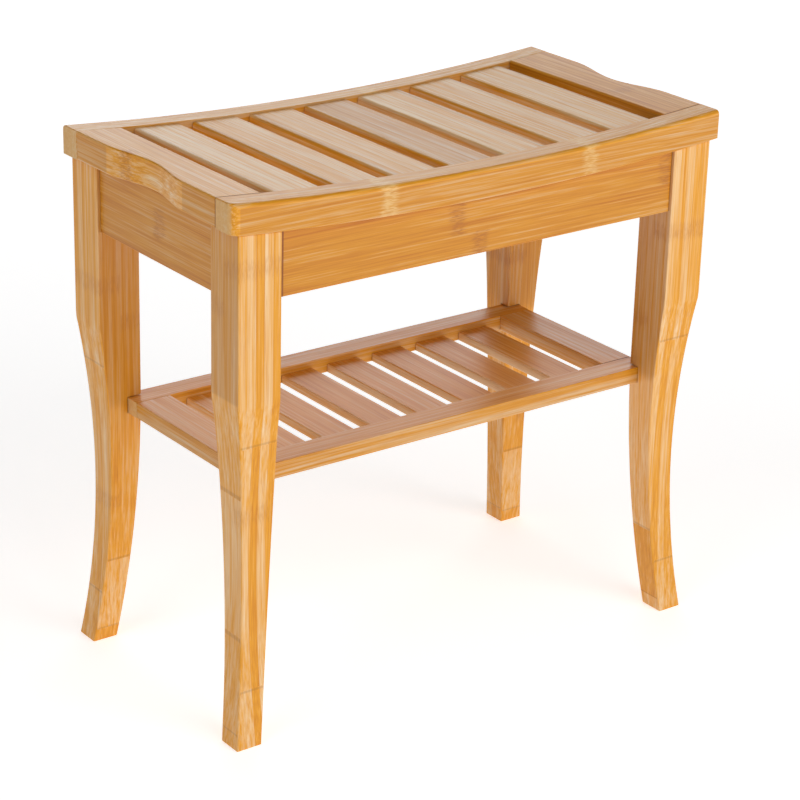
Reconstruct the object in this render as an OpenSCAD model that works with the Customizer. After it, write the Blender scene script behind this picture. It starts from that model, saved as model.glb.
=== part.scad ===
// Bamboo shower stool.
// A dished, slatted seat stands on four swept legs joined by deep aprons, with a
// slatted shelf let into the legs.  It is put together with dowels, and each leg
// is drawn into its corner by one bolt through a corner block.
//
// Frame: origin on the floor under the middle of the seat, +X along the seat,
// +Y from the front to the back, +Z up.  Millimetres.

/* [Seat] */
// Length of the seat
seat_l = 501.65; // [440:0.05:560]
// Width of the seat, front to back
seat_w = 260.35; // [240:0.05:320]
// Height of the seat at its two ends
seat_h = 476.25; // [430:0.05:520]
// How far the middle of the seat dips below its ends
seat_sag = 11; // [4:0.5:16]
// Thickness of the front and back seat rails
rail_t = 24; // [20:0.5:30]
// Depth of the seat rails
rail_h = 25.5; // [22:0.5:32]
// Rounding of a rail's top outer edge
rail_round = 4; // [1:0.5:10]
// Rounding of the seat's front left corner, seen from above
front_left_r = 8.5; // [1:0.5:12]
// Rounding of the seat's other three corners
seat_corner_r = 1; // [0.5:0.5:12]

/* [Seat slats] */
// Gap between neighbouring slats
slat_gap = 12; // [6:0.5:16]
// Thickness of a slat
slat_t = 12; // [10:0.5:15]
// How far the slats lie below the tops of the rails
slat_drop = 1.6; // [0:0.1:4]
// Rounding of a slat's long top edges
slat_round = 2.5; // [0.5:0.5:5]
// Width of an end slat
end_slat_w = 43.4; // [36:0.1:55]
// Thickness of an end slat at its outer edge
end_slat_t = 24.6; // [20:0.1:26]

/* [Hand-holds] */
// Depth of the scoop in the outer edge of an end slat
scoop_d = 9.5; // [4:0.5:12]
// Half the length of the scoop
scoop_half = 62; // [40:1:80]

/* [Legs] */
// Width of a leg's square upper part
leg_w = 40.5; // [34:0.5:46]
// How far a leg's outer end face stands in from the end of the seat
leg_end_inset = 7.2; // [0:0.1:15]
// How far a leg's outer front or back face stands in from the seat's edge
leg_side_inset = 2; // [0:0.1:6]
// Depth of the hollow sweep in a leg's outer faces
sweep_d = 10; // [4:0.5:12]
// Height of the deepest point of that sweep
sweep_z = 160; // [140:1:180]
// Radius of that sweep
sweep_r = 1075; // [900:5:1400]
// Height at which a leg's inner faces start to curve outwards
flare_z = 250; // [238:1:280]
// Radius of the inner faces' curve
flare_r = 1740; // [1600:10:2600]

/* [Aprons] */
// Thickness of an apron
apron_t = 15; // [12:0.5:18]
// How far the aprons' bottom edges lie below the ends of the seat
apron_drop = 85.2; // [78:0.1:110]
// How far an apron's face lies behind the faces of its legs
apron_inset = 3.3; // [0:0.1:6]

/* [Shelf] */
// How far each end of the shelf is let into the legs
shelf_end_bite = 13.3; // [6:0.1:18]
// How far each long edge of the shelf is let into the legs
shelf_side_bite = 10.7; // [6:0.1:18]
// Height of the shelf's underside above the floor
shelf_z = 222.25; // [200:0.25:230]
// Thickness of the shelf's frame
shelf_t = 14.5; // [12:0.5:18]
// Width of the shelf's long rails
shelf_rail_w = 25; // [20:0.5:32]
// Width of the shelf's end rails
shelf_end_w = 34; // [25:0.5:45]
// Width of a shelf slat
shelf_slat_w = 33.5; // [26:0.5:38]
// Thickness of a shelf slat
shelf_slat_t = 8; // [7:0.5:10]
// Clearance round a shelf corner in its leg
notch_gap = 0.8; // [0.3:0.1:1.5]

/* [Fixings] */
// Diameter of the dowels that hold the seat slats
slat_dowel_d = 6; // [4:0.5:8]
// Diameter of the dowels between the aprons and the legs
apron_dowel_d = 8; // [6:0.5:10]
// Diameter of the dowels at the shelf's corners
shelf_dowel_d = 5; // [3:0.5:6]
// Diameter of the dowels that hold the shelf slats
thin_dowel_d = 4; // [3:0.5:5]
// Diameter of a leg bolt
bolt_d = 6; // [5:1:8]
// Diameter of a seat screw
screw_d = 4; // [3:0.5:5]

/* [Hidden] */
$fn = 96;
fit_gap = 0.1;                // play round a dowel, bolt or screw
rest_gap = 0.2;               // gap under the curved seat rails
past = 1;                     // how far a cutter runs past a face

dowel_l = 20;                 // slat dowels
apron_dowel_l = 30;
shelf_dowel_l = 20;
end_dowel_gap = 11;           // spacing of an end slat's dowels from its middle
scoop_steps = 32;             // flats along the scoop

slat_count = 7;               // slats between the two end slats
shelf_slats = 7;              // slats of the shelf

// The dish: a wide arc about an axis along Y, high above the seat.
dish_r = (pow(seat_l / 2, 2) + pow(seat_sag, 2)) / (2 * seat_sag);
dish_z = seat_h - seat_sag + dish_r;
dish_fn = 1440;
sweep_fn = 720;

inner_w = seat_w - 2 * rail_t;                    // clear width between the rails
slat_room = seat_l - 2 * end_slat_w;              // clear length between the end slats
slat_w = (slat_room - (slat_count + 1) * slat_gap) / slat_count;
slat_pitch = slat_w + slat_gap;
end_slat_z = seat_h - end_slat_t;                 // underside of an end slat

leg_x = seat_l / 2 - leg_end_inset;               // outer end face of a leg
leg_y = seat_w / 2 - leg_side_inset;              // outer front or back face
leg_in_x = leg_x - leg_w;
leg_in_y = leg_y - leg_w;
foot_out = sweep_r - sqrt(pow(sweep_r, 2) - pow(sweep_z, 2)) - sweep_d;

apron_z = seat_h - apron_drop;                    // bottom edge of the aprons
apron_x = leg_x - apron_inset;                    // outer face of an end apron
apron_y = leg_y - apron_inset;                    // outer face of a long apron
apron_in_x = apron_x - apron_t;
apron_in_y = apron_y - apron_t;
dowel_rows = [14, 38];                            // heights above an apron's bottom edge

shelf_l = 2 * (leg_in_x + shelf_end_bite);
shelf_w = 2 * (leg_in_y + shelf_side_bite);
shelf_in_l = shelf_l - 2 * shelf_end_w;
shelf_in_w = shelf_w - 2 * shelf_rail_w;
shelf_slat_gap = (shelf_in_l - shelf_slats * shelf_slat_w) / (shelf_slats + 1);
shelf_pitch = shelf_slat_w + shelf_slat_gap;

block_h = 30;                                     // corner block
block_reach = 66;                                 // how far it runs along each apron
block_z = end_slat_z - block_h;
// thickness of a corner block on the line of its bolt
block_neck = (leg_in_x + leg_in_y + block_reach - apron_in_x - apron_in_y) / sqrt(2);
bolt_z = block_z + block_h / 2;
bolt_bite = 22;                                   // bolt length inside the leg
insert_r = 5;
insert_from = 6;                                  // depth of the insert's two ends
insert_to = 20;
washer_t = 1.5;
washer_r = 8;
head_h = 4;
head_r = 5.5;
screw_l = 42;
screw_head_h = 3;
screw_from_apron = 10;
screw_from_leg = 16;
screw_x = apron_in_x - screw_from_apron;
screw_y = leg_in_y - screw_from_leg;
shelf_corner_step = 8;                            // corner dowels from an end rail's middle
pin_from_edge = 4.5;                              // shelf pin from the shelf's long edge

bamboo = [0.86, 0.68, 0.44];
bamboo_pale = [0.89, 0.75, 0.55];
dowel_wood = [0.80, 0.66, 0.46];
steel = [0.62, 0.62, 0.64];

// ---------------------------------------------------------------- placing

// Puts a shape drawn for the back right corner into any of the four.
module corner(right, back) {
    mirror([right ? 0 : 1, 0, 0])
        mirror([0, back ? 0 : 1, 0])
            children();
}

module all_corners() {
    for (right = [false, true], back = [false, true]) {
        corner(right, back) children();
    }
}

// Turns a shape along the dish, so that z = 0 is the rails' top surface at x.
module on_dish(x) {
    translate([0, 0, dish_z])
        rotate([0, -asin(x / dish_r), 0])
            translate([0, 0, -dish_r])
                children();
}

// Everything nearer than r to the axis of the dish.
module dish_drum(r, length) {
    translate([0, 0, dish_z])
        rotate([90, 0, 0])
            cylinder(r = r, h = length, center = true, $fn = dish_fn);
}

// A dowel or bore along Y about a point on its axis.
module pin_y(d, length) {
    rotate([90, 0, 0])
        cylinder(d = d, h = length, center = true);
}

// A dowel or bore along X about a point on its axis.
module pin_x(d, length) {
    rotate([0, 90, 0])
        cylinder(d = d, h = length, center = true);
}

function slat_x(i) = (i - (slat_count + 1) / 2) * slat_pitch;
function shelf_slat_x(i) = (i - (shelf_slats + 1) / 2) * shelf_pitch;
end_slat_x = (seat_l - end_slat_w) / 2;

// ---------------------------------------------------------------- seat

// A rail's cross-section.  The x axis runs away from the dish axis, so the
// rounded top outer edge is at the smallest x and the largest y.
module rail_section() {
    translate([dish_r, 0])
        square([rail_h, rail_t - rail_round]);
    translate([dish_r + rail_round, 0])
        square([rail_h - rail_round, rail_t]);
    translate([dish_r + rail_round, rail_t - rail_round])
        circle(r = rail_round);
}

// What is cut off the seat's back right corner to round it to r from above.
module corner_cut(r) {
    translate([seat_l / 2 - r, seat_w / 2 - r, seat_h - 2 * rail_h])
        difference() {
            cube([r + past, r + past, 3 * rail_h]);
            translate([0, 0, -past])
                cylinder(r = r, h = 3 * rail_h + 2 * past);
        }
}

// The two dowels at each end of slat number i; side is -1 front, 1 back.
module slat_dowels(i, side, extra = 0) {
    for (along = [-1, 1]) {
        on_dish(slat_x(i))
            translate([along * slat_w / 4, side * inner_w / 2, -slat_drop - slat_t / 2])
                pin_y(slat_dowel_d + extra, dowel_l + extra);
    }
}

// The two dowels at each end of an end slat; hand is -1 left, 1 right.
module end_slat_dowels(hand, side, extra = 0) {
    for (along = [-1, 1]) {
        translate([hand * end_slat_x + along * end_dowel_gap, side * inner_w / 2,
                   seat_h - end_slat_t / 2])
            pin_y(slat_dowel_d + extra, dowel_l + extra);
    }
}

module side_dowels(side, extra = 0) {
    for (i = [1:slat_count]) {
        slat_dowels(i, side, extra);
    }
    for (hand = [-1, 1]) {
        end_slat_dowels(hand, side, extra);
    }
}

module seat_dowels() {
    color(dowel_wood)
    for (side = [-1, 1]) {
        side_dowels(side);
    }
}

// The back rail: its section swept round the dish axis and cut to length.
module back_rail_blank(left_r) {
    sweep = 2 * asin(seat_l / 2 / dish_r) + 1;
    difference() {
        intersection() {
            translate([0, inner_w / 2, dish_z])
                rotate([-90, 0, 0])
                    rotate([0, 0, 90 - sweep / 2])
                        rotate_extrude(angle = sweep, $fn = dish_fn)
                            rail_section();
            translate([-seat_l / 2, 0, seat_h - 2 * rail_h])
                cube([seat_l, seat_w, 3 * rail_h]);
        }
        corner_cut(seat_corner_r);
        mirror([1, 0, 0])
            corner_cut(left_r);
    }
}

module seat_rail(side) {
    color(bamboo)
    difference() {
        mirror([0, side > 0 ? 0 : 1, 0])
            back_rail_blank(side > 0 ? seat_corner_r : front_left_r);
        side_dowels(side, 2 * fit_gap);
    }
}

// The scoop's outline: one smooth wave, deepest in the middle, that runs out
// level with the slat's outer edge, which is at x = 0.
module scoop_plan() {
    polygon(concat(
        [[past, -scoop_half]],
        [for (i = [0:scoop_steps]) let (t = 2 * i / scoop_steps - 1)
            [-scoop_d * (1 + cos(180 * t)) / 2, t * scoop_half]],
        [[past, scoop_half]]
    ));
}

module seat_end_slat(hand) {
    color(bamboo_pale)
    difference() {
        mirror([hand > 0 ? 0 : 1, 0, 0])
            difference() {
                translate([seat_l / 2 - end_slat_w, -inner_w / 2, end_slat_z])
                    cube([end_slat_w, inner_w, end_slat_t + past]);
                dish_drum(dish_r, seat_w);
                translate([seat_l / 2, 0, end_slat_z - past])
                    linear_extrude(end_slat_t + 3 * past)
                        scoop_plan();
            }
        for (side = [-1, 1]) {
            end_slat_dowels(hand, side, 2 * fit_gap);
        }
        all_corners() seat_screw(2 * fit_gap);
    }
}

// A slat's cross-section, with its top at y = 0 and both top edges rounded.
module slat_section() {
    flat = slat_w - 2 * slat_round;
    translate([-slat_w / 2, -slat_t])
        square([slat_w, slat_t - slat_round]);
    translate([-flat / 2, -slat_t])
        square([flat, slat_t]);
    for (edge = [-1, 1]) {
        translate([edge * flat / 2, -slat_round])
            circle(r = slat_round);
    }
}

module seat_slat(i) {
    color(bamboo_pale)
    difference() {
        on_dish(slat_x(i))
            translate([0, inner_w / 2, -slat_drop])
                rotate([90, 0, 0])
                    linear_extrude(inner_w)
                        slat_section();
        for (side = [-1, 1]) {
            slat_dowels(i, side, 2 * fit_gap);
        }
    }
}

// ---------------------------------------------------------------- legs

// One of a leg's two equal shapes: its side view, drawn from the leg's
// straight outer face at x = 0, and thick enough to cover the leg.
module leg_sweep() {
    thick = 2 * leg_w;
    difference() {
        union() {
            translate([-leg_w, -thick / 2, flare_z])
                cube([leg_w, thick, seat_h - flare_z]);
            intersection() {
                translate([-leg_w, -thick / 2, 0])
                    cube([leg_w + foot_out, thick, flare_z]);
                translate([flare_r - leg_w, 0, flare_z])
                    rotate([90, 0, 0])
                        cylinder(r = flare_r, h = 2 * thick, center = true, $fn = sweep_fn);
            }
        }
        translate([sweep_r - sweep_d, 0, sweep_z])
            rotate([90, 0, 0])
                cylinder(r = sweep_r, h = 2 * thick, center = true, $fn = sweep_fn);
    }
}

// The hollow in a leg's inner corner that takes a corner of the shelf.
module shelf_notch() {
    translate([leg_in_x - past, leg_in_y - past, shelf_z])
        cube([shelf_l / 2 - leg_in_x + past + notch_gap,
              shelf_w / 2 - leg_in_y + past + notch_gap,
              shelf_t + notch_gap]);
}

// The leg of the back right corner, before its bores.
module leg_blank() {
    mid_x = leg_x - leg_w / 2;
    mid_y = leg_y - leg_w / 2;
    difference() {
        intersection() {
            translate([leg_x, mid_y, 0])
                leg_sweep();
            translate([mid_x, leg_y, 0])
                rotate([0, 0, 90])
                    leg_sweep();
        }
        shelf_notch();
        under_rail_cut();
    }
}

// Cuts away what would reach the curved underside of the seat rails.
module under_rail_cut() {
    dish_drum(dish_r + rail_h + rest_gap, 2 * seat_w);
}

module leg(right, back) {
    color(bamboo)
    corner(right, back)
        difference() {
            leg_blank();
            apron_dowel_set(2 * fit_gap);
            shelf_pin(2 * fit_gap);
            on_bolt_axis() {
                translate([0, 0, -past])
                    cylinder(r = insert_r + fit_gap, h = insert_to + past + fit_gap);
                cylinder(d = bolt_d + 2 * fit_gap, h = bolt_bite + past);
            }
        }
}

// ---------------------------------------------------------------- aprons

// The four dowels that join both aprons to the back right leg.
module apron_dowel_set(extra = 0) {
    for (row = dowel_rows) {
        translate([leg_in_x, apron_y - apron_t / 2, apron_z + row])
            pin_x(apron_dowel_d + extra, apron_dowel_l + extra);
        translate([apron_x - apron_t / 2, leg_in_y, apron_z + row])
            pin_y(apron_dowel_d + extra, apron_dowel_l + extra);
    }
}

// A front or back apron; side is -1 front, 1 back.
module long_apron(side) {
    color(bamboo)
    difference() {
        translate([-leg_in_x, side > 0 ? apron_in_y : -apron_y, apron_z])
            cube([2 * leg_in_x, apron_t, seat_h - apron_z]);
        under_rail_cut();
        all_corners() apron_dowel_set(2 * fit_gap);
    }
}

// A left or right apron; hand is -1 left, 1 right.
module end_apron(hand) {
    color(bamboo)
    difference() {
        translate([hand > 0 ? apron_in_x : -apron_x, -leg_in_y, apron_z])
            cube([apron_t, 2 * leg_in_y, end_slat_z - apron_z]);
        all_corners() apron_dowel_set(2 * fit_gap);
    }
}

// ---------------------------------------------------------------- corner joints

// Turns +Z to run from the inside of the back right corner into its leg,
// starting at the leg's inner arris.
module on_bolt_axis() {
    translate([leg_in_x, leg_in_y, bolt_z])
        rotate([0, 0, 45])
            rotate([0, 90, 0])
                children();
}

// A block that fills the corner between two aprons, notched round the leg.
module corner_block(right, back) {
    color(bamboo)
    corner(right, back)
        difference() {
            translate([0, 0, block_z])
                linear_extrude(block_h)
                    polygon([
                        [leg_in_x, apron_in_y],
                        [apron_in_x - block_reach, apron_in_y],
                        [apron_in_x, apron_in_y - block_reach],
                        [apron_in_x, leg_in_y],
                        [leg_in_x, leg_in_y]
                    ]);
            // room for the seat rail that hangs over the block's edge
            intersection() {
                under_rail_cut();
                translate([0, inner_w / 2 - rest_gap, 0])
                    cube([seat_l, seat_w, seat_h]);
            }
            on_bolt_axis()
                cylinder(d = bolt_d + 4 * fit_gap, h = 4 * block_reach, center = true);
            seat_screw(2 * fit_gap);
        }
}

// The bolt of the back right corner: a round head and a plain shank.
module leg_bolt() {
    seat_face = -(block_neck + washer_t);
    on_bolt_axis() {
        translate([0, 0, seat_face])
            cylinder(d = bolt_d, h = bolt_bite - seat_face);
        translate([0, 0, seat_face - head_h])
            cylinder(r = head_r, h = head_h);
    }
}

module leg_bolt_washer() {
    on_bolt_axis()
        translate([0, 0, -(block_neck + washer_t)])
            difference() {
                cylinder(r = washer_r, h = washer_t);
                translate([0, 0, -past])
                    cylinder(d = bolt_d + 2 * fit_gap, h = washer_t + 2 * past);
            }
}

// The threaded sleeve in the leg that the bolt screws into.
module leg_insert() {
    on_bolt_axis()
        translate([0, 0, insert_from])
            difference() {
                cylinder(r = insert_r, h = insert_to - insert_from);
                translate([0, 0, -past])
                    cylinder(d = bolt_d + 2 * fit_gap, h = insert_to - insert_from + 2 * past);
            }
}

// The countersunk screw that holds an end slat down to the back right block.
module seat_screw(extra = 0) {
    translate([screw_x, screw_y, block_z]) {
        cylinder(d = screw_d + extra, h = screw_l + extra / 2);
        cylinder(r1 = screw_d + extra / 2, r2 = screw_d / 2, h = screw_head_h + extra / 2);
    }
}

// ---------------------------------------------------------------- shelf

// Dowels between the shelf slats and the long rails, one at each slat's end.
module shelf_slat_dowels(extra = 0) {
    for (i = [1:shelf_slats], side = [-1, 1]) {
        translate([shelf_slat_x(i), side * shelf_in_w / 2, shelf_z + shelf_slat_t / 2])
            pin_y(thin_dowel_d + extra, shelf_dowel_l + extra);
    }
}

// Two dowels at each corner of the shelf's frame.
module shelf_corner_dowel_set(extra = 0) {
    mid_x = (shelf_l - shelf_end_w) / 2;
    for (hand = [-1, 1], side = [-1, 1], step = [-1, 1]) {
        translate([hand * mid_x + step * shelf_corner_step, side * shelf_in_w / 2,
                   shelf_z + shelf_t / 2])
            pin_y(shelf_dowel_d + extra, shelf_dowel_l + extra);
    }
}

// The pin that holds the back right corner of the shelf in its leg.
module shelf_pin(extra = 0) {
    translate([shelf_l / 2, shelf_w / 2 - pin_from_edge, shelf_z + shelf_t / 2])
        pin_x(shelf_dowel_d + extra, shelf_dowel_l + extra);
}

// A long rail of the shelf; side is -1 front, 1 back.
module shelf_rail(side) {
    color(bamboo)
    difference() {
        translate([-shelf_l / 2, side > 0 ? shelf_in_w / 2 : -shelf_w / 2, shelf_z])
            cube([shelf_l, shelf_rail_w, shelf_t]);
        shelf_slat_dowels(2 * fit_gap);
        shelf_corner_dowel_set(2 * fit_gap);
        all_corners() shelf_pin(2 * fit_gap);
    }
}

// An end rail of the shelf; hand is -1 left, 1 right.
module shelf_end(hand) {
    color(bamboo)
    difference() {
        translate([hand > 0 ? shelf_l / 2 - shelf_end_w : -shelf_l / 2, -shelf_in_w / 2, shelf_z])
            cube([shelf_end_w, shelf_in_w, shelf_t]);
        shelf_corner_dowel_set(2 * fit_gap);
    }
}

module shelf_slat(i) {
    color(bamboo_pale)
    difference() {
        translate([shelf_slat_x(i) - shelf_slat_w / 2, -shelf_in_w / 2, shelf_z])
            cube([shelf_slat_w, shelf_in_w, shelf_slat_t]);
        shelf_slat_dowels(2 * fit_gap);
    }
}

// ---------------------------------------------------------------- nodes

seat_rail(-1);  // seat_rail_front
seat_rail(1);  // seat_rail_back
seat_end_slat(-1);  // seat_end_slat_left
seat_end_slat(1);  // seat_end_slat_right
seat_slat(1);  // seat_slat_1
seat_slat(2);  // seat_slat_2
seat_slat(3);  // seat_slat_3
seat_slat(4);  // seat_slat_4
seat_slat(5);  // seat_slat_5
seat_slat(6);  // seat_slat_6
seat_slat(7);  // seat_slat_7
long_apron(-1);  // apron_front
long_apron(1);  // apron_back
end_apron(-1);  // apron_left
end_apron(1);  // apron_right
leg(false, false);  // leg_front_left
leg(true, false);  // leg_front_right
leg(false, true);  // leg_back_left
leg(true, true);  // leg_back_right
shelf_rail(-1);  // shelf_rail_front
shelf_rail(1);  // shelf_rail_back
shelf_end(-1);  // shelf_end_left
shelf_end(1);  // shelf_end_right
shelf_slat(1);  // shelf_slat_1
shelf_slat(2);  // shelf_slat_2
shelf_slat(3);  // shelf_slat_3
shelf_slat(4);  // shelf_slat_4
shelf_slat(5);  // shelf_slat_5
shelf_slat(6);  // shelf_slat_6
shelf_slat(7);  // shelf_slat_7
corner_block(false, false);  // corner_block_front_left
corner_block(true, false);  // corner_block_front_right
corner_block(false, true);  // corner_block_back_left
corner_block(true, true);  // corner_block_back_right
color(steel) all_corners() leg_bolt();  // leg_bolts
color(steel) all_corners() leg_bolt_washer();  // leg_bolt_washers
color(steel) all_corners() leg_insert();  // leg_inserts
color(steel) all_corners() seat_screw();  // seat_screws
seat_dowels();
color(dowel_wood) all_corners() apron_dowel_set();  // apron_dowels
color(dowel_wood) shelf_slat_dowels();  // shelf_dowels
color(dowel_wood) shelf_corner_dowel_set();  // shelf_corner_dowels
color(dowel_wood) all_corners() shelf_pin();  // shelf_pins
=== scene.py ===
"""Bamboo shower stool: its looks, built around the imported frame.

The wooden pieces that show are rebuilt as clean lofted meshes with eased edges, each in the
place of its CAD node, and every piece gets its own laminated bamboo, laid along its own grain.
"""

import math
import random

import bmesh
import bpy
from mathutils import Euler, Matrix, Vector


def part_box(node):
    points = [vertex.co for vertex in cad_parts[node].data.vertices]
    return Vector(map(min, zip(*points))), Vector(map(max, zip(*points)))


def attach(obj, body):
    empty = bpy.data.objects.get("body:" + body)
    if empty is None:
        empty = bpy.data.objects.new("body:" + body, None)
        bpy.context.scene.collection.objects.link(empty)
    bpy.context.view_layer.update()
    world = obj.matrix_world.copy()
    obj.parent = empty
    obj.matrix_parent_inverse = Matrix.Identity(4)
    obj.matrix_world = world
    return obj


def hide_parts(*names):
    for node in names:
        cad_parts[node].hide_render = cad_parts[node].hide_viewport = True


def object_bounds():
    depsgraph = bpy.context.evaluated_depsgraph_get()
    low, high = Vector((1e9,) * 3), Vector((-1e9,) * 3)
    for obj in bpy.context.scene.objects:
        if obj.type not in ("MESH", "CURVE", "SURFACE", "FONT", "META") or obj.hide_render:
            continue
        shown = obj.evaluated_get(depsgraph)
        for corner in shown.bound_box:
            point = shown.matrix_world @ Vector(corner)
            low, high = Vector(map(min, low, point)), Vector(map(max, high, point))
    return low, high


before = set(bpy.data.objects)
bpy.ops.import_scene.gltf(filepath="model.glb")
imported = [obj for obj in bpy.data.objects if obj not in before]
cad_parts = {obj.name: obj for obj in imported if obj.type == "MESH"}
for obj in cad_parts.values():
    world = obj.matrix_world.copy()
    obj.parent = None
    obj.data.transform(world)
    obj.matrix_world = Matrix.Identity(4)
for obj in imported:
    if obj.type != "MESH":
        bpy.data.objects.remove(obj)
cad_lo, cad_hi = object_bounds()

# ---------------------------------------------------------------- the design's own sizes, in metres

MM = 0.001
X, Y, Z = 0, 1, 2

SEAT_L = cad_hi.x - cad_lo.x
SEAT_W = 260.35 * MM
SEAT_H = cad_hi.z
SAG = 11 * MM
RAIL_T = 24 * MM
RAIL_H = 25.5 * MM
RAIL_ROUND = 4 * MM
FRONT_LEFT_CORNER = 8.5 * MM
SEAT_CORNER = 1 * MM
SLAT_T = 12 * MM
SLAT_DROP = 1.6 * MM
SLAT_ROUND = 2.5 * MM
END_SLAT_ROUND = 1.6 * MM
SCOOP_D = 9.5 * MM
SCOOP_HALF = 62 * MM
REST_GAP = 0.2 * MM

LEG_W = 40.5 * MM
LEG_X = SEAT_L / 2 - 7.2 * MM
LEG_Y = SEAT_W / 2 - 2 * MM
SWEEP_D = 10 * MM
SWEEP_Z = 160 * MM
SWEEP_R = 1075 * MM
FLARE_Z = 250 * MM
FLARE_R = 1740 * MM
NOTCH_GAP = 0.8 * MM

DISH_R = ((SEAT_L / 2) ** 2 + SAG ** 2) / (2 * SAG)
DISH_Z = SEAT_H - SAG + DISH_R

EASE = 1.1 * MM          # sanded edges
TIGHT = 0.25 * MM        # edges inside a glued joint
JOINT_EASE = 0.7 * MM    # edges along a joint that shows
END_SHARE = 0.6          # how much a rail's end face is eased, beside its long edges
CORNER_STEPS = 4         # flats round each eased edge
RAIL_CORNER_STEPS = 8    # flats round a rail's corner seen from above
RAIL_STEPS = 32          # lengths that a dished rail or apron is made of
SCOOP_STEPS = 64         # lengths that an end slat is made of
LEG_STEPS = 72           # lengths that a leg is made of
LEG_ROUND = 1.3 * MM     # a leg's long edges
LEAST_ROUND = 0.02 * MM  # keeps the points of a sharp corner apart
LIFT_POWER = 8           # how close to its top a leg starts to follow the rail's curve
CUTTER_PAST = 5 * MM     # how far the notch's cutter reaches out of the leg
SHARP_DEG = 34           # edges that turn by more than this stay hard
SHELF_SLATS = 7


def dish(x, depth=0.0):
    """Height at x of the surface that lies depth under the seat's top."""
    return DISH_Z - math.sqrt((DISH_R + depth) ** 2 - x ** 2)


# ---------------------------------------------------------------- meshes

def outline(a0, a1, b0, b1, radii, inset=0.0):
    """A rectangle with rounded corners, anticlockwise from its low corner, as (a, b) points.

    radii are those of the corners (a0 b0), (a1 b0), (a1 b1) and (a0 b1).
    """
    points = []
    corners = ((a0, b0, 1, 1, 180), (a1, b0, -1, 1, 270), (a1, b1, -1, -1, 0), (a0, b1, 1, -1, 90))
    for (a, b, to_a, to_b, start), radius in zip(corners, radii):
        r = max(radius - inset, LEAST_ROUND)
        centre_a = a + to_a * (inset + r)
        centre_b = b + to_b * (inset + r)
        for step in range(CORNER_STEPS + 1):
            angle = math.radians(start + 90 * step / CORNER_STEPS)
            points.append((centre_a + r * math.cos(angle), centre_b + r * math.sin(angle)))
    return points


def stations(start, end, radius, steps=1):
    """(place, inset) pairs from start to end, with both ends rounded by radius."""
    turns = [math.radians(90 * i / CORNER_STEPS) for i in range(CORNER_STEPS + 1)]
    first = [(start + radius * (1 - math.cos(t)), radius * (1 - math.sin(t))) for t in turns]
    last = [(end - radius * (1 - math.cos(t)), radius * (1 - math.sin(t))) for t in reversed(turns)]
    span = end - start - 2 * radius
    middle = [(start + radius + span * i / steps, 0.0) for i in range(1, steps)]
    return first + middle + last


def loft(name, rings):
    """A closed solid through rings of points; smooth() later keeps its flats flat under smooth
    shading.
    """
    bm = bmesh.new()
    loops = [[bm.verts.new(point) for point in ring] for ring in rings]
    for one, two in zip(loops, loops[1:]):
        for i in range(len(one)):
            j = (i + 1) % len(one)
            bm.faces.new((one[i], one[j], two[j], two[i]))
    bm.faces.new(loops[0])
    bm.faces.new(loops[-1])
    bmesh.ops.recalc_face_normals(bm, faces=bm.faces)
    mesh = bpy.data.meshes.new(name)
    bm.to_mesh(mesh)
    bm.free()
    piece = bpy.data.objects.new(name, mesh)
    bpy.context.scene.collection.objects.link(piece)
    return piece


def smooth(piece):
    """Smooth shading that keeps hard edges hard and large flats flat."""
    piece.data.polygons.foreach_set("use_smooth", [True] * len(piece.data.polygons))
    piece.data.set_sharp_from_angle(angle=math.radians(SHARP_DEG))
    modifier = piece.modifiers.new("flats", "WEIGHTED_NORMAL")
    modifier.keep_sharp = True


def stand_for(piece, node, material):
    """Puts a finished piece in the place of its CAD node."""
    smooth(piece)
    piece.data.materials.append(material)
    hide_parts(node)
    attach(piece, "root")


def board(name, lo, hi, axis, radius=EASE, end_radius=TIGHT):
    """A straight board along axis, with eased long edges."""
    a, b = [i for i in (X, Y, Z) if i != axis]
    rings = []
    for place, inset in stations(lo[axis], hi[axis], end_radius):
        ring = []
        for pa, pb in outline(lo[a], hi[a], lo[b], hi[b], [radius] * 4, inset):
            point = [0.0, 0.0, 0.0]
            point[axis], point[a], point[b] = place, pa, pb
            ring.append(point)
        rings.append(ring)
    return loft(name, rings)


def corner_places(radius):
    """(distance from the end, how much narrower there) pairs round a corner seen from above."""
    turns = [math.radians(90 * step / RAIL_CORNER_STEPS) for step in range(RAIL_CORNER_STEPS + 1)]
    return [(radius * (1 - math.cos(turn)), radius * (1 - math.sin(turn))) for turn in turns]


def seat_rail(name, side):
    """A dished rail with a round corner at each end, seen from above."""
    inner = side * (SEAT_W / 2 - RAIL_T)
    half = SEAT_L / 2
    left = FRONT_LEFT_CORNER if side < 0 else SEAT_CORNER
    first = [(-half + d, shrink, max(0.0, EASE - d)) for d, shrink in corner_places(left)]
    last = [(half - d, shrink, max(0.0, EASE - d)) for d, shrink in corner_places(SEAT_CORNER)]
    span = SEAT_L - left - SEAT_CORNER
    middle = [(-half + left + span * i / RAIL_STEPS, 0.0, 0.0) for i in range(1, RAIL_STEPS)]
    radii = [EASE, EASE, RAIL_ROUND, JOINT_EASE]
    rings = []
    for x, shrink, inset in first + middle + last[::-1]:
        ring = []
        for across, up in outline(0.0, RAIL_T - shrink, 0.0, RAIL_H, radii, inset * END_SHARE):
            ring.append((x, inner + side * across, dish(x, RAIL_H - up)))
        rings.append(ring)
    return loft(name, rings)


def scoop(y):
    """Depth of the hand-hold in an end slat's outer edge at y."""
    if abs(y) >= SCOOP_HALF:
        return 0.0
    return SCOOP_D * (1 + math.cos(math.pi * y / SCOOP_HALF)) / 2


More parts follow.
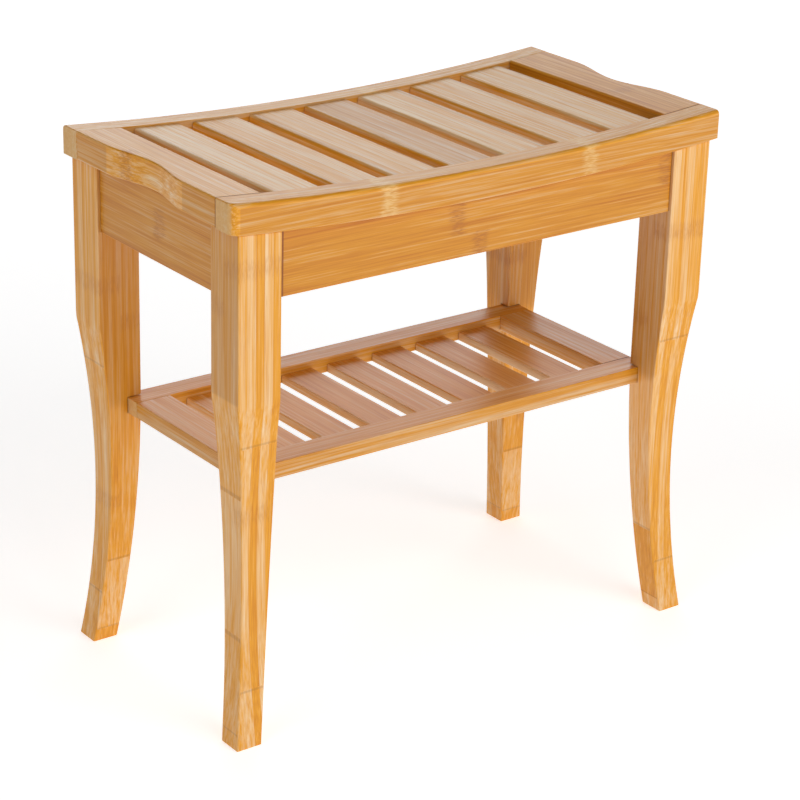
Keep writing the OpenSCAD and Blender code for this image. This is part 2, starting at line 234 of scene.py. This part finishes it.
def end_slat(name, node, hand):
    """A thick end slat with the scoop in its outer edge and a dished top."""
    lo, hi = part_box(node)
    inner = min(abs(lo.x), abs(hi.x))
    bottom = lo.z
    radii = [EASE, EASE, END_SLAT_ROUND, SLAT_ROUND]
    rings = []
    for y, inset in stations(lo.y, hi.y, JOINT_EASE, steps=SCOOP_STEPS):
        outer = SEAT_L / 2 - scoop(y)
        ring = []
        for x, share in outline(inner, outer, 0.0, SEAT_H - bottom, radii, inset):
            top = dish(x)
            z = bottom + share * (top - bottom) / (SEAT_H - bottom)
            ring.append((hand * x, y, z))
        rings.append(ring)
    return loft(name, rings)


def seat_slat(name, node):
    """A slat lying on the dish, square to it, with round top edges."""
    lo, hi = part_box(node)
    middle = (lo.x + hi.x) / 2
    tilt = math.asin(middle / DISH_R)
    width = (hi.x - lo.x - SLAT_T * abs(math.sin(tilt))) / math.cos(tilt)
    half = width / 2
    # the box of a tilted slat is not centred on the slat's top, so its place comes from its angle
    centre = middle + math.sin(tilt) * (-SLAT_T / 2)
    angle = math.asin(centre / DISH_R)
    radii = [EASE, EASE, SLAT_ROUND, SLAT_ROUND]
    rings = []
    for y, inset in stations(lo.y, hi.y, JOINT_EASE):
        ring = []
        for across, up in outline(-half, half, 0.0, SLAT_T, radii, inset):
            reach = DISH_R + SLAT_DROP + SLAT_T - up
            x = reach * math.sin(angle) + across * math.cos(angle)
            z = DISH_Z - reach * math.cos(angle) + across * math.sin(angle)
            ring.append((x, y, z))
        rings.append(ring)
    return loft(name, rings)


def leg_outer(z):
    """How far a leg's outer face stands beyond its straight part at height z."""
    swept = SWEEP_R - SWEEP_D - math.sqrt(SWEEP_R ** 2 - (z - SWEEP_Z) ** 2)
    return min(0.0, swept) if z > SWEEP_Z else swept


def leg_inner(z):
    """How far a leg's inner face has moved outwards at height z."""
    if z >= FLARE_Z:
        return 0.0
    return FLARE_R - math.sqrt(FLARE_R ** 2 - (FLARE_Z - z) ** 2)


def leg(name, right, back):
    """A leg, lofted from its foot to the curved underside of the seat rail."""
    to_x, to_y = (1 if right else -1), (1 if back else -1)
    top = dish(LEG_X - LEG_W / 2, RAIL_H + REST_GAP)
    rings = []
    for z, inset in stations(0.0, top, EASE, steps=LEG_STEPS):
        out, moved = leg_outer(z), leg_inner(z)
        ring = []
        limits = (LEG_X - LEG_W + moved, LEG_X + out, LEG_Y - LEG_W + moved, LEG_Y + out)
        for x, y in outline(*limits, [LEG_ROUND] * 4, inset):
            lift = (z / top) ** LIFT_POWER * (dish(x, RAIL_H + REST_GAP) - top)
            ring.append((to_x * x, to_y * y, z + lift))
        rings.append(ring)
    piece = loft(name, rings)
    cut_notch(piece, to_x, to_y)
    return piece


def cut_notch(piece, to_x, to_y):
    """Takes away what the shelf's corner fills, and a little play round it."""
    rail_lo, rail_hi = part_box("shelf_rail_back")
    inner_x, inner_y = LEG_X - LEG_W, LEG_Y - LEG_W
    lo = Vector((inner_x - CUTTER_PAST, inner_y - CUTTER_PAST, rail_lo.z))
    hi = Vector((rail_hi.x + NOTCH_GAP, rail_hi.y + NOTCH_GAP, rail_hi.z + NOTCH_GAP))
    cutter = board("cutter", lo, hi, Z, radius=TIGHT)
    for vertex in cutter.data.vertices:
        vertex.co.x *= to_x
        vertex.co.y *= to_y
    if to_x * to_y < 0:
        cutter.data.flip_normals()
    modifier = piece.modifiers.new("notch", "BOOLEAN")
    modifier.object = cutter
    modifier.solver = "EXACT"
    bpy.context.view_layer.update()
    evaluated = piece.evaluated_get(bpy.context.evaluated_depsgraph_get())
    cut = bpy.data.meshes.new_from_object(evaluated)
    piece.modifiers.remove(modifier)
    piece.data = cut
    bpy.data.objects.remove(cutter)


def long_apron(name, node):
    """A front or back apron, whose top follows the underside of the seat rail."""
    lo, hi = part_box(node)
    rings = []
    for x, inset in stations(lo.x, hi.x, TIGHT, steps=RAIL_STEPS):
        top = dish(x, RAIL_H + REST_GAP)
        ring = [(x, y, z) for y, z in outline(lo.y, hi.y, lo.z, top, [EASE] * 4, inset)]
        rings.append(ring)
    return loft(name, rings)


# ---------------------------------------------------------------- bamboo

PALE = (0.86, 0.585, 0.31)
MIDDLE = (0.79, 0.335, 0.012)
DEEP = (0.60, 0.190, 0.003)
NODE_BROWN = (0.50, 0.165, 0.015)
NODE_PALE = (0.95, 0.64, 0.26)
# colour of the dark glue lines between bands, and of the painted contact shadow at a piece's glued
# ends
SEAM_AND_SHADOW = (0.24, 0.065, 0.010)
END_GRAIN = (0.68, 0.45, 0.21)

LAYER_CONTRAST = 0.75
STRIP_CONTRAST = 0.45
STREAK_CONTRAST = 0.40
FIBRE_CONTRAST = 1.9
LEG_FIBRE_CONTRAST = 1.4
NODE_HALF = 10 * MM
# width of the dark band painted at each glued end of a piece: painted contact shadow at the joint
JOINT_SHADOW = 0.8 * MM
OPEN_JOINT_SHADOW = 3.6 * MM    # painted shadow of the gap at the front apron's left end, seen past the edge of its leg
NO_JOINT_SHADOWS = (0.0, 0.0)
FACE_STRIP = 4.4 * MM    # thickness of the outermost strip left on a leg's straight face

# fibres, as (scale along the grain, scale across it, detail, roughness) of a noise, per metre
STREAKS = (2.0, 150.0, 2.0, 0.5)
FINE_LINES = (7.0, 430.0, 3.0, 0.7)
DASHES = (35.0, 900.0, 1.0, 0.5)
LAYER_SEED_STEP = 7.0    # keeps one band's fibres from running on into the next
STRIP_SEED_STEP = 13.0

NODE_ACROSS = 1100.0     # scale of a cane node's specks across the grain, per metre
NODE_WAVER = 20.0        # scale of its wavering edge along the grain, per metre
NODE_SPECKS = 150.0      # scale of its specks along the grain, per metre
NODE_SWING = 20 * MM     # how far its edge wavers
NODE_SIDE = 0.4 * MM     # how softly it stops at the sides of its strip
NODE_CORE = 0.4          # share of its half width that is at full strength
SPECK_RANGE = (0.42, 0.60)
SPECK_FLOOR = 0.3

DASH_RANGE = (0.54, 0.68)
DASH_SHARE = 0.28
SEAM_OUTER = 0.16 * MM
SEAM_INNER = 0.04 * MM
SEAM_SHARE = 0.25
# how softly the painted contact shadow at a glued end fades, and how dark it is
JOINT_SHADOW_SOFT = 0.5 * MM
JOINT_SHADOW_SHARE = 0.9
END_RANGE = (0.75, 0.97)
END_GRAIN_SHARE = 0.65

ROUGH_BASE = 0.28
ROUGH_FINE = 0.22
ROUGH_END = 0.2
BUMP_FINE = 0.6
BUMP_DASH = 0.35
BUMP_SEAM = -1.2
BUMP_STRENGTH = 0.35
BUMP_DEPTH = 0.16 * MM
LACQUER = {"Specular IOR Level": 0.36, "Coat Weight": 0.08, "Coat Roughness": 0.25}

LEAST_TONE = 0.30        # of a band drawn at random
MOST_TONE = 0.70


class Shader:
    """Builds one material's nodes; each method adds a node and returns its output."""

    def __init__(self, name):
        self.material = bpy.data.materials.new(name)
        self.material.use_nodes = True
        self.nodes = self.material.node_tree.nodes
        self.links = self.material.node_tree.links
        self.nodes.clear()

    def add(self, kind, inputs, **settings):
        node = self.nodes.new(kind)
        for key, value in settings.items():
            setattr(node, key, value)
        for key, value in inputs.items():
            if isinstance(value, bpy.types.NodeSocket):
                self.links.new(value, node.inputs[key])
            else:
                node.inputs[key].default_value = value
        return node

    def math(self, operation, *values, clamp=False):
        inputs = dict(enumerate(values))
        return self.add("ShaderNodeMath", inputs, operation=operation, use_clamp=clamp).outputs[0]

    def combine(self, x, y, z):
        return self.add("ShaderNodeCombineXYZ", {0: x, 1: y, 2: z}).outputs[0]

    def noise(self, vector, scale, detail=2.0, rough=0.55):
        inputs = {"Vector": vector, "Scale": scale, "Detail": detail, "Roughness": rough}
        return self.add("ShaderNodeTexNoise", inputs).outputs["Fac"]

    def step(self, value, low, high, to_low=0.0, to_high=1.0):
        """value carried smoothly from low..high to to_low..to_high."""
        inputs = {0: value, 1: low, 2: high, 3: to_low, 4: to_high}
        node = self.add("ShaderNodeMapRange", inputs, interpolation_type="SMOOTHSTEP")
        return node.outputs[0]

    def ramp(self, factor, stops, interpolation="LINEAR"):
        node = self.add("ShaderNodeValToRGB", {"Fac": factor})
        node.color_ramp.interpolation = interpolation
        elements = node.color_ramp.elements
        while len(elements) < len(stops):
            elements.new(1.0)
        for element, (place, colour) in zip(elements, stops):
            element.position = place
            element.color = (*colour, 1.0)
        return node.outputs["Color"]

    def mix(self, factor, one, two, blend="MIX"):
        node = self.nodes.new("ShaderNodeMix")
        node.data_type = "RGBA"
        node.blend_type = blend
        node.clamp_factor = True
        for socket, value in ((node.inputs[0], factor), (node.inputs[6], one), (node.inputs[7], two)):
            if isinstance(value, bpy.types.NodeSocket):
                self.links.new(value, socket)
            elif isinstance(value, tuple):
                socket.default_value = (*value, 1.0)
            else:
                socket.default_value = value
        return node.outputs[2]


def cells(shader, place, low, high, tones, rng):
    """Cuts low..high into one band per tone.

    Gives each band's tone, two random values of its own, and the distance to its nearer edge.
    """
    count = len(tones)
    share = shader.math("DIVIDE", shader.math("SUBTRACT", place, low), high - low)
    stops = [(i / count, (tone, rng.random(), rng.random())) for i, tone in enumerate(tones)]
    bands = shader.ramp(share, stops, "CONSTANT")
    parts = shader.add("ShaderNodeSeparateColor", {0: bands})
    inside = shader.math("FRACT", shader.math("MULTIPLY", share, float(count)))
    edge = shader.math("MULTIPLY", shader.math("PINGPONG", inside, 0.5), (high - low) / count)
    return parts.outputs[0], parts.outputs[1], parts.outputs[2], edge


def fibres(s, u, v, w, own):
    """Broad streaks, fine lines and short dark dashes, all drawn out along the grain."""
    found = []
    for along, across, detail, rough in (STREAKS, FINE_LINES, DASHES):
        place = s.combine(s.math("MULTIPLY_ADD", u, along, own), s.math("MULTIPLY", v, across),
                          s.math("MULTIPLY", w, across))
        found.append(s.noise(place, 1.0, detail, rough))
    return found


def cane_nodes(s, u, v, w, own, knots):
    """The speckled bands where the cane had its nodes: how dark and how pale each point is."""
    edge_place = s.combine(s.math("MULTIPLY", u, NODE_WAVER), s.math("MULTIPLY", v, NODE_ACROSS),
                           s.math("MULTIPLY_ADD", w, NODE_ACROSS, own))
    waver = s.noise(edge_place, 1.0, detail=1.0)
    wavy = s.math("MULTIPLY_ADD", s.math("SUBTRACT", waver, 0.5), NODE_SWING, u)
    speck_place = s.combine(s.math("MULTIPLY", u, NODE_SPECKS), s.math("MULTIPLY", v, NODE_ACROSS),
                            s.math("MULTIPLY", w, NODE_ACROSS))
    speck = s.noise(speck_place, 1.0, detail=1.0, rough=0.5)
    speckle = s.step(speck, *SPECK_RANGE, SPECK_FLOOR, 1.0)
    dark, pale = 0.0, 0.0
    for place, low, high, strength in knots:
        across = s.math("MULTIPLY", s.step(v, low - NODE_SIDE, low),
                        s.step(v, high + NODE_SIDE, high))
        away = s.math("ABSOLUTE", s.math("SUBTRACT", wavy, place))
        band = s.step(away, NODE_HALF, NODE_CORE * NODE_HALF, 0.0, abs(strength))
        band = s.math("MULTIPLY", band, across)
        if strength > 0:
            dark = s.math("MAXIMUM", dark, band)
        else:
            pale = s.math("MAXIMUM", pale, band)
    return s.math("MULTIPLY", dark, speckle), s.math("MULTIPLY", pale, speckle)


def bamboo(name, node, grain, ply, layers, strips, knots=(), tone=0.5, seed=0,
           joints=(JOINT_SHADOW, JOINT_SHADOW), stock=None, fibre=FIBRE_CONTRAST):
    """Laminated bamboo for one piece, laid out in the piece's own box.

    grain is the axis of the fibres and ply the one through the glued layers.  layers and strips
    are the tones of the bands along ply and along the third axis, from 0 pale to 1 deep.  knots
    are (place along the grain, low, high, strength) bands across the third axis, and strength
    is below 0 for a pale one.  joints are the widths of the dark lines painted at the
    piece's low and high ends, where it is glued to its neighbours: painted contact shadow at
    the joint.  stock is the box of the timber the bands are laid out in, where it is not the
    piece's own.  fibre is the contrast of the fine lines.
    """
    rng = random.Random(seed)
    lo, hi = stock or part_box(node)
    wide = next(axis for axis in (X, Y, Z) if axis not in (grain, ply))
    s = Shader(name)
    texture = s.add("ShaderNodeTexCoord", {})
    parts = s.add("ShaderNodeSeparateXYZ", {0: texture.outputs["Object"]})
    u, v, w = parts.outputs[grain], parts.outputs[wide], parts.outputs[ply]

    layer_tone, layer_shift, layer_seed, layer_edge = cells(s, w, lo[ply], hi[ply], layers, rng)
    strip_tone, strip_shift, strip_seed, strip_edge = cells(s, v, lo[wide], hi[wide], strips, rng)
    own = s.math("ADD", s.math("MULTIPLY", layer_seed, LAYER_SEED_STEP),
                 s.math("MULTIPLY", strip_seed, STRIP_SEED_STEP))
    own = s.math("ADD", own, s.math("ADD", layer_shift, strip_shift))
    broad, fine, dash = fibres(s, u, v, w, own)
    dark, pale = cane_nodes(s, u, v, w, own, knots)

    # colour: each band's own tone, moved by the streaks and lines
    level = s.math("MULTIPLY_ADD", s.math("SUBTRACT", layer_tone, 0.5), LAYER_CONTRAST, tone)
    for value, contrast in ((strip_tone, STRIP_CONTRAST), (broad, STREAK_CONTRAST)):
        level = s.math("MULTIPLY_ADD", s.math("SUBTRACT", value, 0.5), contrast, level)
    level = s.math("MULTIPLY_ADD", s.math("SUBTRACT", fine, 0.5), fibre, level, clamp=True)
    colour = s.ramp(level, [(0.0, PALE), (0.5, MIDDLE), (1.0, DEEP)])
    colour = s.mix(s.step(dash, *DASH_RANGE, 0.0, DASH_SHARE), colour, DEEP)
    colour = s.mix(pale, colour, NODE_PALE)
    colour = s.mix(dark, colour, NODE_BROWN)
    nearest = s.math("MINIMUM", layer_edge, strip_edge)
    seams_and_shadows = s.step(nearest, SEAM_OUTER, SEAM_INNER, 0.0, SEAM_SHARE)
    # painted contact shadow: a dark band at each glued end, where the piece meets its neighbours
    to_ends = (s.math("SUBTRACT", u, lo[grain]), s.math("SUBTRACT", hi[grain], u))
    for to_end, width in zip(to_ends, joints):
        if width:
            line = s.step(to_end, width, width - JOINT_SHADOW_SOFT, 0.0, JOINT_SHADOW_SHARE)
            seams_and_shadows = s.math("MAXIMUM", seams_and_shadows, line)
    colour = s.mix(seams_and_shadows, colour, SEAM_AND_SHADOW)
    # end grain is paler and drier
    normal = s.add("ShaderNodeSeparateXYZ", {0: texture.outputs["Normal"]}).outputs[grain]
    cut_end = s.step(s.math("ABSOLUTE", normal), *END_RANGE)
    colour = s.mix(s.math("MULTIPLY", cut_end, END_GRAIN_SHARE), colour, END_GRAIN)

    rough = s.math("ADD", s.math("MULTIPLY_ADD", fine, ROUGH_FINE, ROUGH_BASE),
                   s.math("MULTIPLY", cut_end, ROUGH_END))
    grooves = s.math("MULTIPLY_ADD", fine, BUMP_FINE, s.math("MULTIPLY", dash, BUMP_DASH))
    height = s.math("ADD", grooves, s.math("MULTIPLY", seams_and_shadows, BUMP_SEAM))
    bump = s.add("ShaderNodeBump", {
        "Strength": BUMP_STRENGTH, "Distance": BUMP_DEPTH, "Height": height})
    surface = s.add("ShaderNodeBsdfPrincipled", {
        "Base Color": colour, "Roughness": rough, "Normal": bump.outputs[0], **LACQUER})
    s.add("ShaderNodeOutputMaterial", {0: surface.outputs[0]})
    return s.material


DOWEL_STRETCH = (700.0, 60.0, 700.0)
STEEL_DARK = (0.42, 0.42, 0.44)
STEEL_PALE = (0.60, 0.60, 0.61)
STEEL_BLOTCH = 220.0
STEEL_STRETCH = (300.0, 300.0, 4000.0)


def dowel_wood():
    """Plain turned dowels, with their fibres running along each one."""
    s = Shader("dowel_wood")
    place = s.add("ShaderNodeTexCoord", {}).outputs["Object"]
    stretched = s.add("ShaderNodeMapping", {"Vector": place, "Scale": DOWEL_STRETCH})
    streaks = s.noise(stretched.outputs[0], 1.0, detail=3.0)
    colour = s.ramp(streaks, [(0.3, PALE), (0.7, MIDDLE)])
    rough = s.math("MULTIPLY_ADD", streaks, 0.2, 0.5)
    bump = s.add("ShaderNodeBump", {"Strength": 0.3, "Distance": 0.1 * MM, "Height": streaks})
    surface = s.add("ShaderNodeBsdfPrincipled", {
        "Base Color": colour, "Roughness": rough, "Normal": bump.outputs[0]})
    s.add("ShaderNodeOutputMaterial", {0: surface.outputs[0]})
    return s.material


def plated_steel():
    """Zinc-plated steel with a faintly blotched, brushed surface."""
    s = Shader("plated_steel")
    place = s.add("ShaderNodeTexCoord", {}).outputs["Object"]
    blotch = s.noise(place, STEEL_BLOTCH, detail=3.0)
    stretched = s.add("ShaderNodeMapping", {"Vector": place, "Scale": STEEL_STRETCH})
    brushed = s.noise(stretched.outputs[0], 1.0)
    colour = s.ramp(blotch, [(0.3, STEEL_DARK), (0.7, STEEL_PALE)])
    rough = s.math("MULTIPLY_ADD", brushed, 0.25, 0.22)
    bump = s.add("ShaderNodeBump", {"Strength": 0.15, "Distance": 0.05 * MM, "Height": brushed})
    surface = s.add("ShaderNodeBsdfPrincipled", {
        "Base Color": colour, "Metallic": 1.0, "Roughness": rough, "Normal": bump.outputs[0]})
    s.add("ShaderNodeOutputMaterial", {0: surface.outputs[0]})
    return s.material


# ---------------------------------------------------------------- the pieces

def random_tones(count, seed):
    """A tone for each of count bands."""
    rng = random.Random(seed)
    return [rng.uniform(LEAST_TONE, MOST_TONE) for _ in range(count)]


def make_seat():
    front = bamboo("bamboo_rail_front", "seat_rail_front", X, Y, [0.5, 0.4, 0.6], [0.5], tone=0.46,
                   knots=[(-0.102, 0.43, 0.49, -0.8), (0.106, 0.43, 0.49, -0.7)], seed=3,
                   joints=NO_JOINT_SHADOWS)
    stand_for(seat_rail("front_rail", -1), "seat_rail_front", front)
    back = bamboo("bamboo_rail_back", "seat_rail_back", X, Y, [0.3, 0.5, 0.6], [0.5], tone=0.45,
                  knots=[(0.05, 0.43, 0.49, -0.6)], seed=4, joints=NO_JOINT_SHADOWS)
    stand_for(seat_rail("back_rail", 1), "seat_rail_back", back)
    for hand, side in ((-1, "left"), (1, "right")):
        node = "seat_end_slat_" + side
        left = hand < 0
        knots = [(0.034, -0.251, -0.236, 0.6)] if left else [(-0.03, 0.215, 0.236, 0.4)]
        wood = bamboo("bamboo_end_" + side, node, Y, Z, [0.45, 0.6], [0.5, 0.42, 0.5],
                      knots=knots, seed=12 + hand, tone=0.42 if left else 0.6)
        stand_for(end_slat("end_slat_" + side, node, hand), node, wood)
    tones = [0.20, 0.32, 0.26, 0.34, 0.20, 0.28, 0.20]
    for i, tone in enumerate(tones, 1):
        node = f"seat_slat_{i}"
        wood = bamboo(f"bamboo_slat_{i}", node, Y, Z, [0.4, 0.5], random_tones(2, 20 + i),
                      seed=30 + i, tone=tone)
        stand_for(seat_slat(f"slat_{i}", node), node, wood)


def make_aprons():
    knots = {"front": [(-0.029, 0.411, 0.44, 0.8), (-0.005, 0.388, 0.411, 0.8),
                       (0.197, 0.417, 0.46, 0.75)],
             "back": [(0.06, 0.411, 0.44, 0.6)],
             "left": [(-0.006, 0.411, 0.437, 0.6)],
             "right": [(0.03, 0.388, 0.411, 0.5)]}
    for side in ("front", "back"):
        node = "apron_" + side
        # the front apron's left end gets a wider painted shadow, for the gap seen past the edge of
        # its leg
        joints = (OPEN_JOINT_SHADOW, JOINT_SHADOW) if side == "front" else (JOINT_SHADOW, JOINT_SHADOW)
        wood = bamboo("bamboo_" + node, node, X, Y, [0.5, 0.5], [0.55, 0.45, 0.6],
                      knots=knots[side], tone=0.60, seed=51, joints=joints)
        stand_for(long_apron(side + "_apron", node), node, wood)
    for side in ("left", "right"):
        node = "apron_" + side
        lo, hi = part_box(node)
        wood = bamboo("bamboo_" + node, node, Y, X, [0.5, 0.5], [0.6, 0.4, 0.5],
                      knots=knots[side], tone=0.58, seed=54)
        stand_for(board(side + "_apron", lo, hi, Y), node, wood)


def leg_stock(right, back, length):
    """The straight timber a leg is sawn from; its strips start outside the leg's face."""
    to_x, to_y = (1 if right else -1), (1 if back else -1)
    strip = LEG_W / 2
    spans = [(LEG_X - LEG_W, LEG_X), (LEG_Y - FACE_STRIP - 2 * strip, LEG_Y - FACE_STRIP + strip)]
    if back:
        spans = [(LEG_X - FACE_STRIP - 2 * strip, LEG_X - FACE_STRIP + strip),
                 (LEG_Y - LEG_W, LEG_Y)]
    x0, x1 = sorted(to_x * place for place in spans[0])
    y0, y1 = sorted(to_y * place for place in spans[1])
    return Vector((x0, y0, 0.0)), Vector((x1, y1, length))


def make_legs():
    """Four legs, each with the tones of its layers, from low x or y to high, and its nodes."""
    plans = {
        (False, False): ([0.42, 0.28, 0.68, 0.24, 0.60], [
            (0.420, -0.13, -0.108, 0.3), (0.385, -0.108, -0.085, 0.3), (0.206, -0.13, -0.108, 0.3),
            (0.377, -0.226, -0.218, 0.4)]),
        (True, False): ([0.25, 0.62, 0.30, 0.60, 0.55], [
            (0.371, -0.13, -0.108, 0.4), (0.285, -0.108, -0.085, 0.3)]),
        (False, True): ([0.50, 0.30, 0.60, 0.35, 0.60], [
            (0.343, -0.245, -0.223, 0.3), (0.307, -0.223, -0.2, 0.3), (0.141, -0.245, -0.223, 0.35)]),
        (True, True): ([0.60, 0.30, 0.50, 0.60, 0.30], [
            (0.285, 0.2, 0.223, 0.5), (0.12, 0.223, 0.245, 0.4)]),
    }
    for (right, back), (layers, knots) in plans.items():
        side = ("back_" if back else "front_") + ("right" if right else "left")
        node = "leg_" + side
        wood = bamboo("bamboo_" + node, node, Z, Y if back else X, layers, [0.42, 0.55, 0.48],
                      knots=knots, seed=70 + 2 * right + back, tone=0.44, joints=NO_JOINT_SHADOWS,
                      fibre=LEG_FIBRE_CONTRAST, stock=leg_stock(right, back, SEAT_H))
        stand_for(leg(side + "_leg", right, back), node, wood)


def make_shelf():
    for side in ("front", "back"):
        node = "shelf_rail_" + side
        lo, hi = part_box(node)
        wood = bamboo("bamboo_" + node, node, X, Z, [0.45, 0.55], [0.5], tone=0.36, seed=81,
                      joints=NO_JOINT_SHADOWS)
        stand_for(board("shelf_" + side, lo, hi, X), node, wood)
    for side in ("left", "right"):
        node = "shelf_end_" + side
        lo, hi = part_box(node)
        wood = bamboo("bamboo_" + node, node, Y, Z, [0.5, 0.6], [0.45, 0.55], tone=0.30, seed=85)
        stand_for(board("shelf_" + side, lo, hi, Y), node, wood)
    for i in range(1, SHELF_SLATS + 1):
        node = f"shelf_slat_{i}"
        lo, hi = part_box(node)
        wood = bamboo(f"bamboo_shelf_{i}", node, Y, Z, [0.5], random_tones(3, 90 + i),
                      seed=100 + i, tone=0.12)
        stand_for(board(f"shelf_board_{i}", lo, hi, Y), node, wood)


def dress(node, material):
    """Gives a CAD node that stays its material."""
    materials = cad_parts[node].data.materials
    materials.clear()
    materials.append(material)


def make_hidden():
    for side in ("front", "back"):
        for hand in ("left", "right"):
            node = f"corner_block_{side}_{hand}"
            block = bamboo("bamboo_" + node, node, X, Z, [0.5, 0.6, 0.4, 0.6], [0.5, 0.4], seed=120)
            dress(node, block)
    wood = dowel_wood()
    for node in ("seat_dowels", "apron_dowels", "shelf_dowels", "shelf_corner_dowels", "shelf_pins"):
        dress(node, wood)
    steel = plated_steel()
    for node in ("leg_bolts", "leg_bolt_washers", "leg_inserts", "seat_screws"):
        dress(node, steel)


# ---------------------------------------------------------------- the studio

FLOOR_SIZE = 24.0
FLOOR_GREY = (0.85, 0.85, 0.85, 1.0)
FLOOR_GLOW = 0.57        # makes the floor white behind the stool, as in the photograph
WHITE = (1.0, 1.0, 1.0, 1.0)
WORLD_STRENGTH = 0.13
LAMPS = (                # name, place, size in metres and power in watts
    ("key", (1.3, -3.6, 1.3), (3.0, 2.2), 32.0),
    ("front_high", (0.2, -2.3, 2.0), (2.2, 1.2), 22.0),
    ("under", (0.9, -2.6, 0.25), (2.4, 0.4), 7.0),
    ("backdrop", (2.0, 3.2, 1.2), (4.5, 2.4), 70.0),
    ("upper_left", (-2.0, -0.4, 2.2), (1.6, 1.6), 15.0),
)

CAMERA_PLACE = (-1.26031, -1.68794, 1.07686)
CAMERA_AZIMUTH = -35.78823
CAMERA_ELEVATION = 22.2318
CAMERA_ROLL = 1.09977
CAMERA_LENS = 115.4696   # millimetres, on a sensor SENSOR_WIDTH wide
CAMERA_SHIFT = 0.0625
SENSOR_WIDTH = 36.0


def make_floor():
    bpy.ops.mesh.primitive_plane_add(size=FLOOR_SIZE)
    floor = bpy.context.object
    floor.name = "studio_floor"
    s = Shader("pale_floor")
    surface = s.add("ShaderNodeBsdfPrincipled", {
        "Base Color": FLOOR_GREY, "Roughness": 0.9, "Specular IOR Level": 0.1,
        "Emission Color": WHITE, "Emission Strength": FLOOR_GLOW})
    s.add("ShaderNodeOutputMaterial", {0: surface.outputs[0]})
    floor.data.materials.append(s.material)


def soft_light(name, place, size, power):
    """A large soft lamp aimed at the middle of the stool."""
    data = bpy.data.lights.new(name, "AREA")
    data.shape = "RECTANGLE"
    data.size, data.size_y = size
    data.energy = power
    lamp = bpy.data.objects.new(name, data)
    bpy.context.scene.collection.objects.link(lamp)
    lamp.location = place
    aim = Vector((0.0, 0.0, SEAT_H / 2)) - Vector(place)
    lamp.rotation_euler = aim.to_track_quat("-Z", "Y").to_euler()
    lamp.visible_camera = False


def make_light():
    world = bpy.data.worlds.new("studio")
    bpy.context.scene.world = world
    world.use_nodes = True
    background = world.node_tree.nodes["Background"]
    background.inputs["Color"].default_value = WHITE
    background.inputs["Strength"].default_value = WORLD_STRENGTH
    for name, place, size, power in LAMPS:
        soft_light(name, place, size, power)
    bpy.context.scene.view_settings.view_transform = "Standard"


def make_camera():
    data = bpy.data.cameras.new("camera")
    data.sensor_width = SENSOR_WIDTH
    data.lens = CAMERA_LENS
    data.shift_x = CAMERA_SHIFT
    camera = bpy.data.objects.new("camera", data)
    bpy.context.scene.collection.objects.link(camera)
    camera.location = CAMERA_PLACE
    tilt = math.pi / 2 - math.radians(CAMERA_ELEVATION)
    look = Euler((tilt, 0.0, math.radians(CAMERA_AZIMUTH))).to_quaternion()
    roll = Euler((0.0, 0.0, math.radians(CAMERA_ROLL))).to_quaternion()
    camera.rotation_mode = "QUATERNION"
    camera.rotation_quaternion = look @ roll
    bpy.context.scene.camera = camera


make_camera()
make_light()
make_floor()
make_seat()
make_aprons()
make_legs()
make_shelf()
make_hidden()
